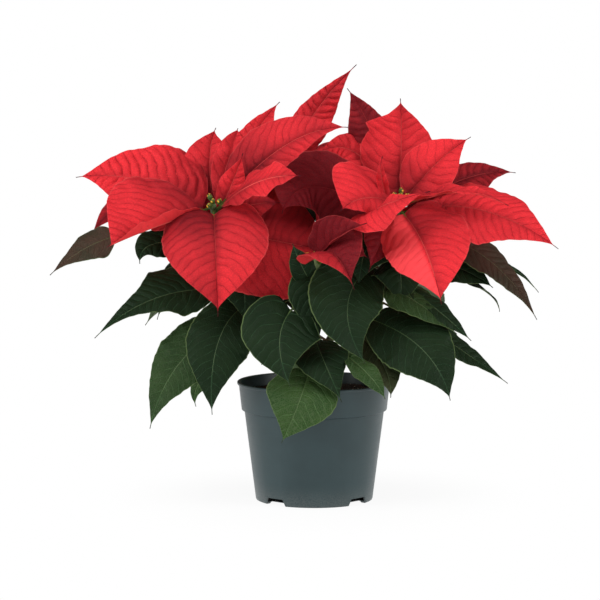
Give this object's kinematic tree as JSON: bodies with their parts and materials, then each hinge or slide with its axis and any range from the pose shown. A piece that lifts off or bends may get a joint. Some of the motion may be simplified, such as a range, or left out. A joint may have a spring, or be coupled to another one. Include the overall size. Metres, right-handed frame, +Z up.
{
  "type": "potted poinsettia",
  "caption": "A bushy poinsettia with heads of pointed red bracts above dark green leaves, rooted in compost in a tapered plastic nursery pot.",
  "frame": {"origin": "centre of the flat underside of the pot", "axes": "+Z up, -Y towards the side with the low hanging bracts and the small front head, +X towards the right-hand head"},
  "size_m": [0.421, 0.247, 0.3656],
  "materials": {
    "pot_plastic": "satin moulded plastic, muted blue-grey green",
    "compost": "dark moist peat compost with lighter crumbs",
    "stem": "dull green to brown woody stem with leaf scars",
    "leaf": "dark blue-green matte leaf with pale veins, a few leaves bronze or yellow-green",
    "bract": "velvety scarlet bract with quilted darker side veins and a pink edge",
    "flower": "waxy green cups with yellow tips"
  },
  "bodies": {
    "root": {"pot": "pot_plastic", "compost": "compost", "main_stem": "stem", "branch_left": "leaf", "branch_right": "leaf", "branch_front": "leaf", "branch_back": "leaf", "bracts_left": "bract", "bracts_right": "bract", "bracts_front": "bract", "bracts_back": "bract", "flowers_left": "flower", "flowers_right": "flower", "flowers_front": "flower", "flowers_back": "flower"}
  },
  "joints": []
}
